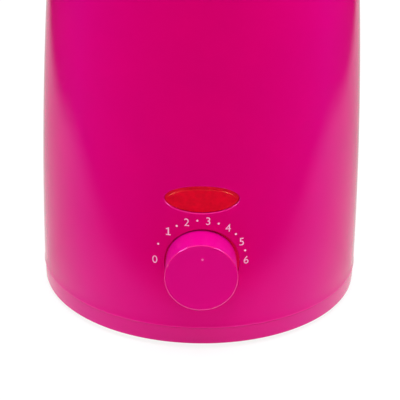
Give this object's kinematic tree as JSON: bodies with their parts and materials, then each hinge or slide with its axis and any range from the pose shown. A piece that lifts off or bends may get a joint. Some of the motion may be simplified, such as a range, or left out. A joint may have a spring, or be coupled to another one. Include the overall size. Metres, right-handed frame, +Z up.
{
  "type": "wax warmer pot",
  "caption": "Tall barrel-shaped electric wax warmer with lift-out pot, swinging bail, vented see-through lid, thermostat knob with a plain scale and an oval indicator lens.",
  "frame": {"origin": "on the surface that the feet stand on, under the middle of the casing", "axes": "+Z up, the knob and lens face -Y, +X to the right as seen from the front"},
  "size_m": [0.1514, 0.1779, 0.208],
  "materials": {
    "magenta_plastic": "satin",
    "red_lens": "translucent, glossy",
    "clear_plastic": "clear, glossy",
    "pot_aluminium": "spun, satin",
    "well_aluminium": "drawn, matt",
    "bail_steel": "bright drawn wire",
    "plated_steel": "zinc plated",
    "black_rubber": "matt",
    "black_plastic": "moulded, matt",
    "white_plastic": "heat-resisting, matt",
    "silicone": "matt",
    "mica": "pressed sheet",
    "felt": "felted fibre",
    "copper": "drawn",
    "brass": "stamped",
    "lamp_glass": "clear",
    "wire_sleeve": "braided sleeve"
  },
  "bodies": {
    "housing": {"outer_shell": "magenta_plastic", "base_cover": "magenta_plastic", "rubber_feet": "black_rubber", "base_screws": "plated_steel", "heating_well": "well_aluminium", "well_gasket": "silicone", "heater_disc": "mica", "heater_tabs": "brass", "insulation_pad": "felt", "support_plate": "plated_steel", "clamp_washer": "plated_steel", "clamp_nut": "plated_steel", "plate_screws": "plated_steel", "insulation_sleeve": "felt", "sensor_bulb": "copper", "capillary_tube": "copper", "thermostat_bracket": "plated_steel", "thermostat_body": "black_plastic", "thermostat_screws": "plated_steel", "thermostat_tabs": "brass", "indicator_lens": "red_lens", "lamp_holder": "white_plastic", "lamp_holder_screws": "plated_steel", "neon_lamp": "lamp_glass", "thermal_fuse": "plated_steel", "fuse_clip": "plated_steel", "fuse_rivets": "plated_steel", "cord_gland": "black_rubber", "terminal_block": "white_plastic", "terminal_screws": "brass", "block_screw": "plated_steel", "lead_wires": "wire_sleeve"},
    "knob": {"control_knob": "magenta_plastic", "thermostat_shaft": "plated_steel"},
    "pot": {"wax_pot": "pot_aluminium", "bail_ears": "plated_steel", "ear_rivets": "plated_steel"},
    "bail": {"bail_handle": "bail_steel"},
    "cover": {"lid": "clear_plastic", "lid_knob": "magenta_plastic", "lid_screw": "plated_steel"}
  },
  "joints": [
    {"name": "knob_turn", "type": "hinge", "parent": "housing", "child": "knob", "pos_m": [0, -0.08, 0.0428], "axis": [0, 1, 0], "range_deg": [-90, 90]},
    {"name": "pot_lift", "type": "slide", "parent": "housing", "child": "pot", "axis": [0, 0, 1], "range_m": [0, 0.125]},
    {"name": "bail_swing", "type": "hinge", "parent": "pot", "child": "bail", "pos_m": [0, 0, 0.1829], "axis": [1, 0, 0], "range_deg": [0, 186]},
    {"name": "lid_lift", "type": "slide", "parent": "pot", "child": "cover", "axis": [0, 0, 1], "range_m": [0, 0.08]}
  ]
}
